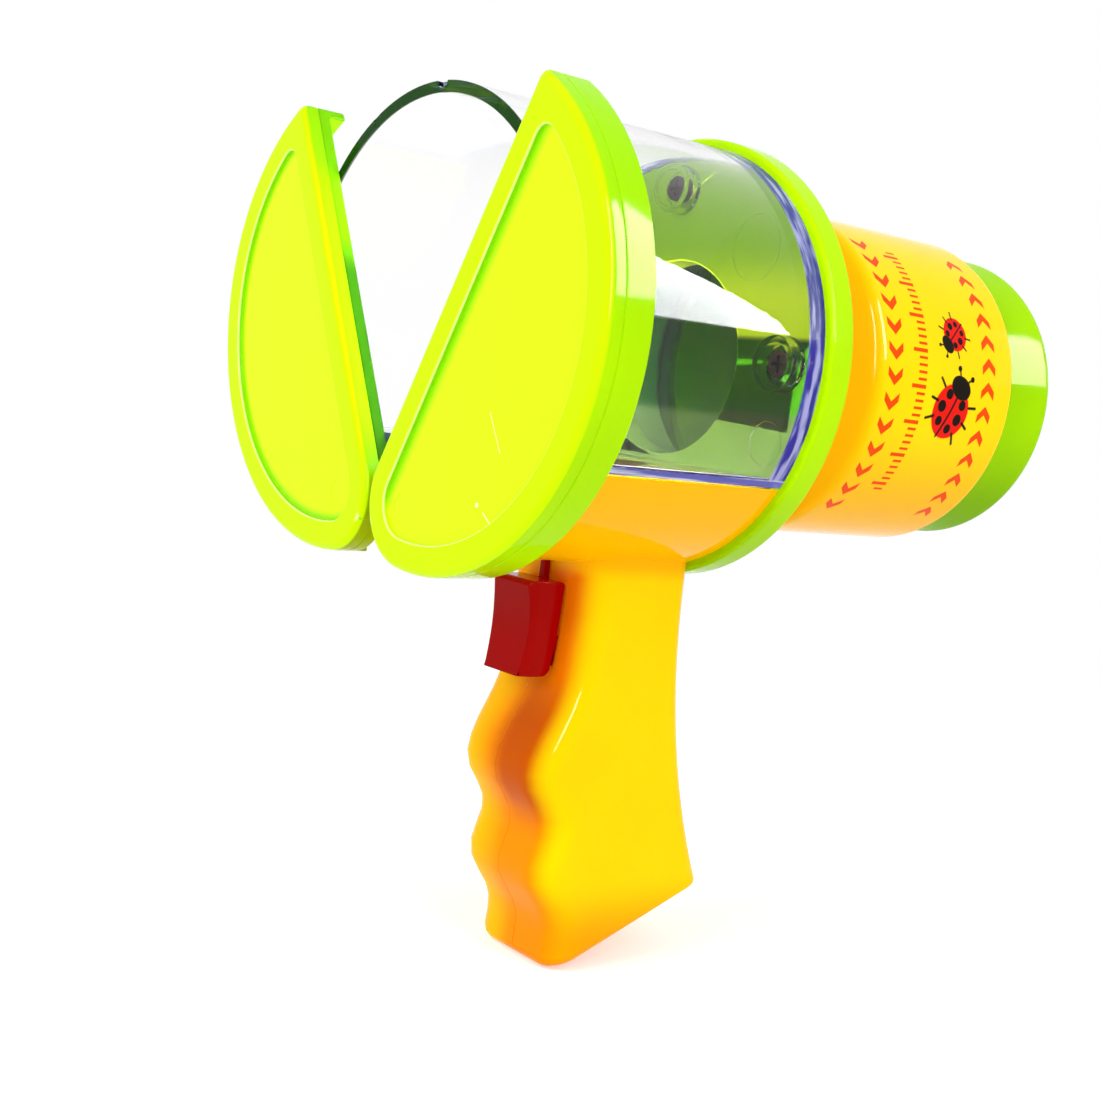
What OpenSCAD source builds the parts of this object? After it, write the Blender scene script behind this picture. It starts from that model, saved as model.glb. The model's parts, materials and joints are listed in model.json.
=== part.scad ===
// Hand-held bug catcher and viewer, in millimetres.
// A clear jar is closed by two half-round jaws that a trigger opens. The jar is
// looked into from behind, through a barrel with a magnifying eyepiece.
// +Z is up, the jaws face -Y, and the origin is on the optical axis at the mouth
// of the eyepiece's bore. The jaws are drawn open, with the trigger pressed.

/* [Jar] */
// Outer radius of the clear jar
jar_r = 43.2; // [41.5:0.1:46]
// Wall of the clear jar
jar_wall = 2.2; // [1.6:0.1:2.6]
// Length of the jar from its lip to the collar
jar_len = 63.6; // [60:0.2:76]
// Thickness of the jar's clear end wall
end_wall = 2.4; // [1.8:0.1:3.4]
// Outer radius of the screw cups in the jar's end wall
cup_r = 5.3; // [4.9:0.1:5.8]
// Height of the screw cups
cup_len = 3.4; // [2.4:0.1:5]

/* [Rear collar] */
// Height of the collar above the jar
collar_lip = 1.8; // [1.2:0.1:3]
// Width of the collar along the barrel
collar_w = 6.1; // [5.4:0.1:8]
// Thickness of the collar's web behind the jar
web_t = 2.6; // [2.2:0.1:3.2]
// Width of the ledge between the viewing hole's baffle and the barrel
view_ledge_w = 2.7; // [0.7:0.1:6.5]

/* [Viewer barrel] */
// How much smaller the barrel's radius is than the jar's
barrel_step = 8.5; // [6.8:0.1:9.2]
// Length of the barrel behind the collar
barrel_len = 65.1; // [60:0.5:80]
// Wall of the barrel
barrel_wall = 2.2; // [1.8:0.1:2.6]
// How far the barrel narrows to its neck in front
neck_step = 8; // [6:0.1:8.4]
// Slope of the cone in front of the barrel's shoulder
shoulder_deg = 45; // [35:1:55]
// Radius of the barrel's round front shoulder
shoulder_r = 4; // [3:0.1:5]
// Distance from the collar to where the shoulder meets the barrel
shoulder_len = 21.8; // [19:0.2:26]
// Radius of the barrel's rounded rear edge
barrel_edge_r = 2.4; // [1:0.1:2.8]

/* [Eyepiece] */
// Length of the eyepiece behind the barrel
eyepiece_len = 16.4; // [14:0.2:22]
// How much smaller the radius of the eyepiece's rim is than the barrel's
eyepiece_step = 2.1; // [0.7:0.1:3.2]
// How much smaller the radius of the eyepiece's waist is than the barrel's
waist_step = 5.3; // [4.7:0.1:5.9]
// How much smaller the radius of the eyepiece's bore is than the waist's
bore_step = 3.6; // [3.2:0.1:5.4]
// Length of the eyepiece's bore
eyepiece_bore_len = 6; // [4.5:0.1:7]
// Thickness of the lens in its middle
lens_t = 6.4; // [5:0.1:8]
// Thickness of the lens at its edge
lens_edge_t = 2.2; // [1.8:0.1:3]

/* [Jaws] */
// How far the jaws stand out past the jar
jaw_lap = 2.6; // [2.2:0.1:3.4]
// Thickness of a jaw's front cover
cover_t = 3.6; // [3.2:0.1:4.6]
// Thickness of a jaw's back plate
plate_t = 2.4; // [2.2:0.1:3.2]
// Depth of the skirt that laps over the jar's lip
skirt_len = 3.3; // [2.6:0.1:5]
// Radius of a jaw's lower inner corner
jaw_corner_r = 12; // [10.5:0.1:13]
// Width of the raised border round a jaw's panel
border_w = 5.6; // [4.6:0.1:7]
// Depth of the panel below the border
panel_recess = 1; // [0.6:0.1:1.3]
// Radius of the rounded front edge
jaw_edge_r = 1.5; // [0.8:0.1:1.8]
// Angle that each jaw opens
open_deg = 28.5; // [20:0.5:30]

/* [Grip] */
// Width of the grip
grip_w = 28; // [27:0.5:34]
// Depth of the grip from front to back at its top
grip_d = 26; // [25.5:0.5:30]
// Length of the grip's front below the body
grip_len = 82; // [76:0.5:95]
// Length of the grip's back below the body
grip_back_len = 67; // [62:0.5:74]
// How far the grip's back sweeps out at the bottom
grip_kick = 14.4; // [8:0.5:18]
// Radius of the grip's front edges
grip_front_r = 6.2; // [5:0.1:10]
// Radius of the grip's rear edges
grip_rear_r = 3; // [2.4:0.1:4]
// Wall of the body and grip halves
shell_wall = 2.2; // [1.8:0.1:2.4]

/* [Trigger] */
// Travel of the trigger
travel = 7; // [6:0.1:7]
// Width of the trigger block
trigger_w = 13; // [11:0.2:15]
// Depth of the trigger block
trigger_d = 9; // [8:0.1:10]
// Height of the trigger block
trigger_h = 19; // [17:0.2:20]
// Width of the thin stem that joins the trigger to the slide
stem_w = 1.6; // [1.4:0.1:2.4]
// Outer radius of the return spring
spring_r = 3.2; // [2.8:0.1:3.4]
// Wire diameter of the return spring
spring_wire = 0.8; // [0.6:0.05:0.9]

/* [Hidden] */
$fn = 96;

// Clearances and the overrun of cuts
over = 1;
seat_gap = 0.3;
run_gap = 0.05;
slide_gap = 0.3;
seam_gap = 0.15;

// Colours
lime = [0.72, 0.96, 0.04];
yellow = [1, 0.84, 0];
amber = [1, 0.74, 0];
red = [0.72, 0, 0.02];
steel = [0.55, 0.55, 0.58];
clear = [0.86, 0.9, 1, 0.35];
glass = [0.8, 0.9, 1, 0.4];
ivory = [0.92, 0.9, 0.84];

// Radii that follow the jar
barrel_r = jar_r - barrel_step;
eyepiece_r = barrel_r - eyepiece_step;
waist_r = barrel_r - waist_step;
eyepiece_bore_r = waist_r - bore_step;
body_r = jar_r;
collar_r = jar_r + collar_lip;
collar_rim_w = 3.7;
collar_edge = 0.5;
jaw_r = jar_r + jaw_lap;
skirt_in_r = jar_r + 1.3 * seat_gap;
baffle_w = 1.8;
view_hole_r = barrel_r - neck_step - barrel_wall - view_ledge_w - baffle_w;

// Places along the optical axis, from the eyepiece forward
cup_depth = 3.4;
barrel_y1 = cup_depth - eyepiece_len;
collar_y1 = barrel_y1 - barrel_len;
collar_y0 = collar_y1 - collar_w;
lip_y = collar_y0 - jar_len;
end_wall_y = collar_y0 - end_wall;
web_y = collar_y0 + web_t;
plate_y1 = lip_y - seat_gap;
plate_y0 = plate_y1 - plate_t;
cover_y0 = plate_y0 - cover_t;
skirt_y1 = lip_y + skirt_len;
body_y0 = skirt_y1 + seat_gap;

// Screws: shank radius, head radius and head height
screw_r = 1.25;
screw_head_r = 2.6;
screw_head_h = 1.8;
screw_slot = 0.7;
small_screw_r = 0.9;
small_head_r = 1.9;
small_head_h = 1;

// Screws through the jar's end wall, the web and into the barrel's posts
jar_screw_ring = jar_r - jar_wall - cup_r - seat_gap * 4;
jar_screw_angles = [0, 90, 180];
cup_wall = 1.4;
gate_r = 1.6;
gate_t = 1.2;
gate_x = 1;
// Round ejector marks in the end wall: across, up and radius, as shares of the jar's radius
ejector_shares = [[0.532, 0.509, 0.147], [0.741, -0.347, 0.097]];
ejector_depth = 0.2;
barrel_post_r = 3;
barrel_post_len = 5;
frame_screw_x = 12;
frame_boss_r = 3.6;
frame_boss_len = 10;

// A jaw turns about a pivot near the centre of its lower inner corner, and the
// cranks, the slide, the body's top plate and the jar's floor lie above that pivot
jaw_x0 = seam_gap;
function corner_z(r, c) = -sqrt(pow(r - c, 2) - pow(c + jaw_x0, 2));
pivot_drop = 1.36;
pivot_x = 10;
pivot_z = corner_z(jaw_r, jaw_corner_r) - pivot_drop;
top_plate_t = 1.6;
head_gap = 0.9;
slide_t = 2.2;
crank_r = 5.5;
ball_r = 1.6;
axle_r = 2.5;
crank_hub_r = 4;
crank_w = 4;
slide_z0 = pivot_z + crank_r - slide_t / 2;
slide_z1 = slide_z0 + slide_t;
ceiling_z = slide_z1 + head_gap;
top_z = ceiling_z + top_plate_t;
floor_drop = -top_z - seat_gap;
axle_flat = 0.6;
jaw_hub_r = 5.2;
front_bearing_y = body_y0 + shell_wall;
crank_y = front_bearing_y + travel + slide_gap + 2 * ball_r + seat_gap;
rib_t = 2.2;
rib_y0 = crank_y + crank_w / 2 + 2 * seat_gap;
rib_y1 = rib_y0 + rib_t;
axle_y0 = plate_y0 + small_head_h + 0.4 * seat_gap;
axle_y1 = rib_y1;

// The slide's plate, its rails and its tail
slide_edge_w = 4;
slide_hw = pivot_x + crank_r * sin(open_deg / 2) + ball_r + slide_edge_w;
slide_y0 = crank_y - 2 * ball_r;
slide_y1 = crank_y + travel + 2 * ball_r;
rail_w = 2;
ledge_w = 2.6;
ledge_t = 1.8;
tail_hw = 5;
foot_hw = 3;
foot_t = 2.4;

// The grip's front line, as shares of its length and of its depth
ridge_share = [0.2, 0.512, 0.755, 0.985];
ridge_out_share = [-0.02, -0.3, -0.165, 0.075];
groove_share = [0.04, 0.135, 0.09];
kick_power_share = 2.2;
grip_y0 = lip_y + jar_len * 0.602;
grip_top_z = -body_r;
grip_foot_r = 2;
grip_sink = 3;
grip_rings = 26;
front_steps = 8;
rear_steps = 4;

// The trigger block hangs in front of the grip
stem_t = 0.8 * stem_w;
trigger_gap = 0.4;
trigger_y1 = grip_y0 - trigger_gap;
trigger_drop = 3.8;
trigger_top_z = grip_top_z - trigger_drop;
trigger_corner = 2;
trigger_round_r = 5;
tongue_hw = 2;
tongue_h = 5.6;
tongue_drop = 3;
tongue_z1 = trigger_top_z - tongue_drop;
tongue_len = 12;
tongue_wall = 1.5;
spring_z = tongue_z1 - tongue_h / 2;
spring_y0 = trigger_y1 + tongue_len + seat_gap;
spring_y1 = grip_y0 + grip_d - 1.3 * shell_wall;
spring_turns = 7;
stem_y = trigger_y1 - stem_t / 2;

// Screws that join the halves: shares along the grip and across it
grip_post_shares = [[0.06, 0.76], [0.4, 0.6], [0.84, 0.6]];
post_r = 3.2;
post_wall_r = 3.7;
body_post_drop = 2.6;
boss_gap = 2;
body_posts = [[rib_y1 + post_wall_r + seat_gap, pivot_z - body_post_drop],
    [collar_y0 - frame_boss_len - post_wall_r - boss_gap, pivot_z]];
screw_head_x = 9;
screw_bite = 8;
recess_gap = 0.4;
recess_r = screw_head_r + recess_gap;

// Helpers that lay profiles out in the object's frame
module slab(y0, y1) {
    translate([0, y1, 0]) rotate([90, 0, 0]) linear_extrude(y1 - y0) children();
}
module turned() {
    rotate([-90, 0, 0]) rotate_extrude() children();
}
module sideways(x0, x1) {
    translate([x0, 0, 0]) rotate([90, 0, 90]) linear_extrude(x1 - x0) children();
}
module rod_y(x, z, y0, y1, r) {
    translate([x, y0, z]) rotate([-90, 0, 0]) cylinder(h = y1 - y0, r = r);
}
module rod_x(y, z, x0, x1, r) {
    translate([x0, y, z]) rotate([0, 90, 0]) cylinder(h = x1 - x0, r = r);
}
module box(x0, x1, y0, y1, z0, z1) {
    translate([x0, y0, z0]) cube([x1 - x0, y1 - y0, z1 - z0]);
}
function arc(cx, cy, r, a0, a1, n) = [for (i = [0:n]) let (a = a0 + (a1 - a0) * i / n)
    [cx + r * cos(a), cy + r * sin(a)]];
function mix(a, b, t) = a + (b - a) * t;
function ease(t) = (1 - cos(180 * t)) / 2;

// A pan-head screw along +Z with a cross recess, its head's seat at z = 0
module screw(len, r, head_r, head_h) {
    difference() {
        union() {
            translate([0, 0, -head_h]) cylinder(h = head_h, r = head_r);
            cylinder(h = len, r = r);
        }
        for (turn = [0, 90])
            rotate([0, 0, turn])
                translate([-head_r * 0.65, -screw_slot / 2, -head_h - over])
                    cube([head_r * 1.3, screw_slot, over + head_h * 0.55]);
    }
}

// Clear jar: a round vault on a flat floor, open at the front
module vault(r, drop) {
    intersection() {
        circle(r);
        translate([-r, -drop]) square([2 * r, r + drop]);
    }
}
module jar() {
    color(clear) difference() {
        union() {
            difference() {
                slab(lip_y, collar_y0) vault(jar_r, floor_drop);
                slab(lip_y - over, end_wall_y) vault(jar_r - jar_wall, floor_drop - jar_wall);
            }
            for (a = jar_screw_angles)
                rod_y(jar_screw_ring * cos(a), jar_screw_ring * sin(a), end_wall_y - cup_len, end_wall_y,
                    cup_r);
        }
        for (a = jar_screw_angles) {
            rod_y(jar_screw_ring * cos(a), jar_screw_ring * sin(a), end_wall_y - cup_len - over, end_wall_y,
                cup_r - cup_wall);
            rod_y(jar_screw_ring * cos(a), jar_screw_ring * sin(a), end_wall_y - over, collar_y0 + over,
                screw_r + seat_gap / 2);
        }
        for (m = ejector_shares, side = [-1, 1])
            rod_y(side * m[0] * jar_r, m[1] * jar_r, end_wall_y - over, end_wall_y + ejector_depth,
                m[2] * jar_r);
        // Half-round mark of the moulding gate in the lip
        rod_y(gate_x, jar_r, lip_y - over, lip_y + gate_t, gate_r);
    }
}
module jar_screws() {
    color(steel) for (a = jar_screw_angles)
        translate([jar_screw_ring * cos(a), end_wall_y, jar_screw_ring * sin(a)]) rotate([-90, 0, 0])
            screw(end_wall + web_t + barrel_post_len * 0.8, screw_r, screw_head_r, screw_head_h);
}

// Rear collar: a rim round a web with the viewing hole and its baffle
module rear_collar() {
    color(lime) difference() {
        turned() polygon([
            [view_hole_r, collar_y0], [collar_r - collar_edge, collar_y0], [collar_r, collar_y0 + collar_edge],
            [collar_r, collar_y1 - collar_edge], [collar_r - collar_edge, collar_y1],
            [collar_r - collar_rim_w, collar_y1], [collar_r - collar_rim_w, web_y],
            [view_hole_r + baffle_w, web_y], [view_hole_r + baffle_w, collar_y1], [view_hole_r, collar_y1]]);
        for (a = jar_screw_angles)
            rod_y(jar_screw_ring * cos(a), jar_screw_ring * sin(a), collar_y0 - over, web_y + over,
                screw_r + seat_gap / 2);
        for (x = [-frame_screw_x, frame_screw_x])
            rod_y(x, pivot_z, collar_y0 - over, web_y + over, screw_r + seat_gap / 2);
    }
}
module frame_screws() {
    color(steel) for (x = [-frame_screw_x, frame_screw_x])
        translate([x, web_y + flange_t, pivot_z]) rotate([90, 0, 0])
            screw(flange_t + web_t + frame_boss_len * 0.8, screw_r, screw_head_r, screw_head_h);
}

// Viewer barrel: a flange in the collar, a neck, a cone, a round shoulder and a plain tube
flange_r = collar_r - collar_rim_w - seat_gap;
flange_t = 2.2;
flange_y1 = web_y + flange_t;
shoulder_y1 = collar_y1 + shoulder_len;
neck_r = barrel_r - neck_step;
neck_fillet_r = 5;
end_flange_t = 2.4;
barrel_mouth_r = waist_r + seat_gap;
// Where the cone that is tangent to a shoulder of radius r meets a neck of radius n
function cone_y(r, n) = shoulder_y1 - r * sin(shoulder_deg)
    - (barrel_r - shoulder_r + r * cos(shoulder_deg) - n) / tan(shoulder_deg);
module viewer_barrel() {
    inner_r = shoulder_r - barrel_wall;
    neck_in_r = neck_r - barrel_wall;
    cx = barrel_r - shoulder_r;
    cy = shoulder_y1;
    ring = frame_screw_x;
    color(yellow) difference() {
        union() {
            turned() polygon(concat(
                [[neck_in_r, web_y], [flange_r, web_y], [flange_r, flange_y1]],
                arc(neck_r + neck_fillet_r, flange_y1 + neck_fillet_r, neck_fillet_r, 270, 180, 8),
                [[neck_r, cone_y(shoulder_r, neck_r)]],
                arc(cx, cy, shoulder_r, -shoulder_deg, 0, 12),
                arc(barrel_r - barrel_edge_r, barrel_y1 - barrel_edge_r, barrel_edge_r, 0, 90, 6),
                [[barrel_mouth_r, barrel_y1], [barrel_mouth_r, barrel_y1 - end_flange_t],
                    [barrel_r - barrel_wall, barrel_y1 - end_flange_t]],
                arc(cx, cy, inner_r, 0, -shoulder_deg, 8),
                [[neck_in_r, cone_y(inner_r, neck_in_r)]]));
            for (a = jar_screw_angles)
                rod_y(jar_screw_ring * cos(a), jar_screw_ring * sin(a), web_y, web_y + barrel_post_len,
                    barrel_post_r);
        }
        for (a = jar_screw_angles)
            rod_y(jar_screw_ring * cos(a), jar_screw_ring * sin(a), web_y - over,
                web_y + barrel_post_len - over, screw_r);
        for (x = [-ring, ring])
            rod_y(x, pivot_z, web_y - over, flange_y1 + over, screw_r + seat_gap / 2);
    }
}

// Eyepiece: a rounded rim, an eye cup, a bore, a flared waist and a sleeve in the barrel
sleeve_r = barrel_r - barrel_wall - seat_gap;
sleeve_wall = 2.2;
sleeve_start = 2;
sleeve_y0 = shoulder_y1 + sleeve_start;
sleeve_y1 = barrel_y1 - end_flange_t - seat_gap;
groove_len = 1;
rim_r = 2;
lens_seat_wall = 2.2;
lens_r = waist_r - lens_seat_wall - run_gap;
lens_seat_y = -eyepiece_bore_len;
lens_ring_t = 2.4;
lens_edge_y = lens_seat_y - run_gap;
lens_ring_y = lens_edge_y - lens_edge_t - run_gap;
module eyepiece() {
    cup_r = eyepiece_bore_r + 0.75 * cup_depth;
    bell_r = sleeve_r - sleeve_wall;
    color(lime) turned() polygon(concat(
        [[bell_r, sleeve_y0], [sleeve_r, sleeve_y0], [sleeve_r, sleeve_y1], [waist_r - groove_len, sleeve_y1],
            [waist_r - groove_len, barrel_y1 + groove_len], [waist_r, barrel_y1 + groove_len]],
        arc(eyepiece_r - rim_r, cup_depth - rim_r, rim_r, -12, 90, 10),
        [[cup_r, cup_depth], [eyepiece_bore_r, 0], [eyepiece_bore_r, lens_seat_y],
            [lens_r + run_gap, lens_seat_y], [lens_r + run_gap, sleeve_y1 - sleeve_wall],
            [bell_r, sleeve_y1 - sleeve_wall - (bell_r - lens_r)]]));
}

// Magnifying lens: flat towards the eye and domed towards the jar
function dome(r, h, y, n) = let (ball = (r * r + h * h) / (2 * h), a = asin(r / ball))
    [for (i = [0:n]) let (b = mix(0, a, i / n)) [ball * sin(b), y - h + ball * (1 - cos(b))]];
lens_land_w = 1.8;
module lens() {
    dome_r = lens_r - lens_land_w;
    edge_y0 = lens_edge_y - lens_edge_t;
    color(glass) turned() polygon(concat(
        [[0, lens_edge_y]],
        dome(dome_r, lens_t - lens_edge_t, edge_y0, 12),
        [[lens_r, edge_y0], [lens_r, lens_edge_y]]));
}
lens_ring_w = 1.6;
module lens_ring() {
    color(ivory) turned() polygon([
        [lens_r, lens_ring_y], [lens_r, lens_ring_y - lens_ring_t],
        [lens_r - lens_ring_w, lens_ring_y - lens_ring_t], [lens_r - lens_ring_w, lens_ring_y]]);
}

// Outline of the right jaw when closed, drawn in from its edge by a given inset
tip_r = 1.2;
function jaw_outline(inset) = let (
    r = jaw_r - inset,
    c = jaw_corner_r - inset,
    cx = jaw_x0 + jaw_corner_r,
    cz = corner_z(jaw_r, jaw_corner_r),
    low = atan2(cz, cx),
    t = tip_r + inset / 4,
    tx = jaw_x0 + inset + t,
    tz = sqrt(pow(r - t, 2) - tx * tx))
    concat(
        arc(0, 0, r, low, atan2(tz, tx), 40),
        arc(tx, tz, t, atan2(tz, tx), 180, 4),
        arc(cx, cz, c, 180, 360 + low, 18));
module jaw_slab(y0, y1, inset) {
    slab(y0, y1) polygon(jaw_outline(inset));
}
// A closed jaw is swung open about its axle, and the left one is its mirror
module open_jaw(side) {
    mirror([side < 0 ? 1 : 0, 0, 0])
        translate([pivot_x, 0, pivot_z]) rotate([0, open_deg, 0]) translate([-pivot_x, 0, -pivot_z])
            children();
}
cover_wall = 2;
panel_t = 1.4;
slice = 0.05;
module jaw_cover() {
    difference() {
        hull() {
            jaw_slab(cover_y0 + jaw_edge_r, plate_y0, 0);
            for (a = [22.5, 45, 67.5, 90])
                jaw_slab(cover_y0 + jaw_edge_r * (1 - sin(a)), cover_y0 + jaw_edge_r * (1 - sin(a)) + slice,
                    jaw_edge_r * (1 - cos(a)));
        }
        jaw_slab(cover_y0 - over, cover_y0 + panel_recess, border_w);
        jaw_slab(cover_y0 + panel_recess + panel_t, plate_y0 + over, cover_wall);
    }
}
skirt_end_deg = 2;
module jaw_rim() {
    skirt_end = atan2(corner_z(jaw_r, jaw_corner_r), jaw_x0 + jaw_corner_r) + skirt_end_deg;
    reach = 2 * jaw_r;
    difference() {
        union() {
            jaw_slab(plate_y0, plate_y1, 0);
            intersection() {
                slab(plate_y1 - over, skirt_y1) difference() {
                    polygon(jaw_outline(0));
                    circle(skirt_in_r);
                }
                slab(plate_y1 - over, skirt_y1) polygon([
                    [0, 0], [reach * cos(skirt_end), reach * sin(skirt_end)], [reach, 0], [reach, reach],
                    [0, reach]]);
            }
            rod_y(pivot_x, pivot_z, plate_y1 - over, skirt_y1, jaw_hub_r);
        }
        intersection() {
            rod_y(pivot_x, pivot_z, plate_y0 + small_head_h, skirt_y1 + over, axle_r + run_gap);
            box(0, pivot_x + axle_r - axle_flat + run_gap, plate_y0, skirt_y1 + 2 * over, 2 * pivot_z, 0);
        }
        rod_y(pivot_x, pivot_z, plate_y0 - over, plate_y0 + small_head_h, small_head_r + seat_gap);
    }
}
module jaw_axle() {
    flat_x = pivot_x + axle_r - axle_flat;
    difference() {
        rod_y(pivot_x, pivot_z, axle_y0, axle_y1, axle_r);
        box(flat_x, flat_x + axle_r, axle_y0 - over, skirt_y1 + run_gap, pivot_z - axle_r, pivot_z + axle_r);
        box(flat_x, flat_x + axle_r, crank_y - crank_w / 2, crank_y + crank_w / 2, pivot_z - axle_r,
            pivot_z + axle_r);
        rod_y(pivot_x, pivot_z, axle_y0 - over, axle_y0 + 8 * small_screw_r, small_screw_r);
    }
}
module jaw_crank() {
    lean = open_deg / 2;
    ball_x = pivot_x - crank_r * sin(lean);
    ball_z = pivot_z + crank_r * cos(lean);
    neck = ball_r * 0.62;
    difference() {
        union() {
            rod_y(pivot_x, pivot_z, crank_y - crank_w / 2, crank_y + crank_w / 2, crank_hub_r);
            translate([pivot_x, crank_y, pivot_z]) rotate([0, -lean, 0]) cylinder(h = crank_r, r = neck);
            translate([ball_x, crank_y, ball_z]) sphere(ball_r);
        }
        intersection() {
            rod_y(pivot_x, pivot_z, crank_y - crank_w, crank_y + crank_w, axle_r + run_gap);
            box(0, pivot_x + axle_r - axle_flat + run_gap, crank_y - crank_w, crank_y + crank_w,
                2 * pivot_z, 0);
        }
    }
}
module jaw_screw() {
    translate([pivot_x, plate_y0 + small_head_h, pivot_z]) rotate([-90, 0, 0])
        screw(7 * small_screw_r, small_screw_r - run_gap, small_head_r, small_head_h);
}
module jaw_right_cover() { color(lime) open_jaw(1) jaw_cover(); }
module jaw_right_rim() { color(lime) open_jaw(1) jaw_rim(); }
module jaw_right_axle() { color(steel) open_jaw(1) jaw_axle(); }
module jaw_right_crank() { color(ivory) open_jaw(1) jaw_crank(); }
module jaw_right_screw() { color(steel) open_jaw(1) jaw_screw(); }
module jaw_left_cover() { color(lime) open_jaw(-1) jaw_cover(); }
module jaw_left_rim() { color(lime) open_jaw(-1) jaw_rim(); }
module jaw_left_axle() { color(steel) open_jaw(-1) jaw_axle(); }
module jaw_left_crank() { color(ivory) open_jaw(-1) jaw_crank(); }
module jaw_left_screw() { color(steel) open_jaw(-1) jaw_screw(); }

// The grip's side lines: a scalloped front and a swept back
function bump(i, t) = mix(ridge_out_share[i], ridge_out_share[i + 1], ease(t))
    + groove_share[i] * pow(sin(180 * t), 2);
function front_share(s) =
    s < ridge_share[0] / 2 ? 0 :
    s < ridge_share[0] ? ridge_out_share[0] * ease(2 * s / ridge_share[0] - 1) :
    s < ridge_share[1] ? bump(0, (s - ridge_share[0]) / (ridge_share[1] - ridge_share[0])) :
    s < ridge_share[2] ? bump(1, (s - ridge_share[1]) / (ridge_share[2] - ridge_share[1])) :
    s < ridge_share[3] ? bump(2, (s - ridge_share[2]) / (ridge_share[3] - ridge_share[2])) :
    ridge_out_share[3];
function grip_front(s) = grip_y0 + grip_d * front_share(s);
function grip_back(s) = grip_y0 + grip_d + grip_kick * pow(max(s, 0), kick_power_share);
function grip_z(s, u) = grip_top_z - s * mix(grip_len, grip_back_len, u);

// One ring of half the grip's outline, from the seam round to the seam again
function grip_ring(s, inset, x0) = let (
    yf = grip_front(s) + inset,
    yr = grip_back(s) - inset,
    w = grip_w / 2 - inset,
    rf = grip_front_r - inset,
    rr = max(grip_rear_r - inset, 0.2 * grip_rear_r),
    flat = concat(
        [[x0, yf]],
        arc(w - rf, yf + rf, rf, -90, 0, front_steps),
        arc(w - rr, yr - rr, rr, 0, 90, rear_steps),
        [[x0, yr]]))
    [for (p = flat) [p.x, p.y, grip_z(s, (p.y - yf) / (yr - yf))]];

// A solid that skins a list of equal rings
module skin(rings) {
    n = len(rings[0]);
    last = len(rings) - 1;
    polyhedron(
        points = [for (ring = rings) each ring],
        faces = concat(
            [[for (j = [0:n - 1]) j]],
            [for (i = [0:last - 1], j = [0:n - 1])
                [i * n + j, (i + 1) * n + (j + 1) % n, i * n + (j + 1) % n]],
            [for (i = [0:last - 1], j = [0:n - 1]) [i * n + j, (i + 1) * n + j, (i + 1) * n + (j + 1) % n]],
            [[for (j = [n - 1:-1:0]) last * n + j]]),
        convexity = 6);
}
module grip_outer() {
    s0 = -grip_sink / grip_len;
    s1 = 1 - grip_foot_r / grip_len;
    skin(concat(
        [for (a = [90, 60, 30])
            grip_ring(s1 + (1 - s1) * sin(a), grip_foot_r * (1 - cos(a)), 0)],
        [for (i = [grip_rings:-1:0]) grip_ring(mix(s0, s1, i / grip_rings), 0, 0)]));
}
module grip_inner() {
    s0 = -1.5 * grip_sink / grip_len;
    s1 = 1 - shell_wall / grip_len * 1.3;
    rings = grip_rings / 2;
    skin([for (i = [rings:-1:0]) grip_ring(mix(s0, s1, i / rings), shell_wall, -over)]);
}

// Half of the lower body's section, under the jar
module tray(r, x0, z1) {
    intersection() {
        circle(r);
        translate([x0, -r]) square([r - x0, r + z1]);
    }
}
function tray_hw(z) = sqrt(body_r * body_r - z * z);
function post_at(p) = let (yf = grip_front(p[0]), yr = grip_back(p[0]))
    [mix(yf, yr, p[1]), grip_z(p[0], p[1])];
grip_posts = [for (p = grip_post_shares) post_at(p)];

module half_shell() {
    difference() {
        union() {
            slab(body_y0, collar_y0) tray(body_r, 0, top_z);
            grip_outer();
        }
        slab(front_bearing_y, collar_y0 - shell_wall) tray(body_r - shell_wall, -over, ceiling_z);
        grip_inner();
        // Room for the collar above the grip's back
        rod_y(0, 0, collar_y0, collar_y1 + grip_d, collar_r + seat_gap);
    }
}
module half_ribs(reach) {
    intersection() {
        union() {
            // Rear bearing rib
            slab(rib_y0, rib_y1) polygon([
                [0, slide_z0 - 2 * seat_gap], [2 * pivot_x, slide_z0 - 2 * seat_gap],
                [2 * pivot_x, -body_r], [0, -body_r]]);
            // Rail and ledge for the slide
            box(slide_hw + slide_gap, slide_hw + slide_gap + rail_w, front_bearing_y - over, slide_y1,
                slide_z0 - ledge_t - seat_gap, ceiling_z + over / 2);
            box(slide_hw + slide_gap - ledge_w, slide_hw + slide_gap + rail_w,
                front_bearing_y - over, slide_y1,
                slide_z0 - ledge_t - seat_gap, slide_z0 - seat_gap);
            // Boss for the screw that comes through the collar
            rod_y(frame_screw_x, pivot_z, collar_y0 - frame_boss_len, collar_y0 - over, frame_boss_r);
            for (p = body_posts)
                rod_x(p[0], p[1], 0, tray_hw(p[1]), reach);
        }
        slab(body_y0 + over, collar_y0 - over) tray(body_r - shell_wall / 2, 0, ceiling_z + over / 2);
    }
    intersection() {
        union() {
            for (p = grip_posts)
                rod_x(p[0], p[1], 0, grip_w / 2 - shell_wall / 2, reach);
            // Channel for the trigger's tongue and the tower for the spring
            box(0, tongue_hw + slide_gap + tongue_wall, grip_y0 + shell_wall / 2, spring_y0 - seat_gap,
                tongue_z1 - tongue_h - slide_gap - tongue_wall, tongue_z1 + slide_gap + tongue_wall);
            box(0, spring_r + slide_gap + tongue_wall, spring_y0 - seat_gap, grip_y0 + grip_d - shell_wall / 2,
                spring_z - spring_r - slide_gap - tongue_wall, spring_z + spring_r + slide_gap + tongue_wall);
        }
        box(0, grip_w, grip_y0 - grip_d, grip_y0 + 2 * grip_d, grip_top_z - grip_len, grip_top_z - over);
    }
}
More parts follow.
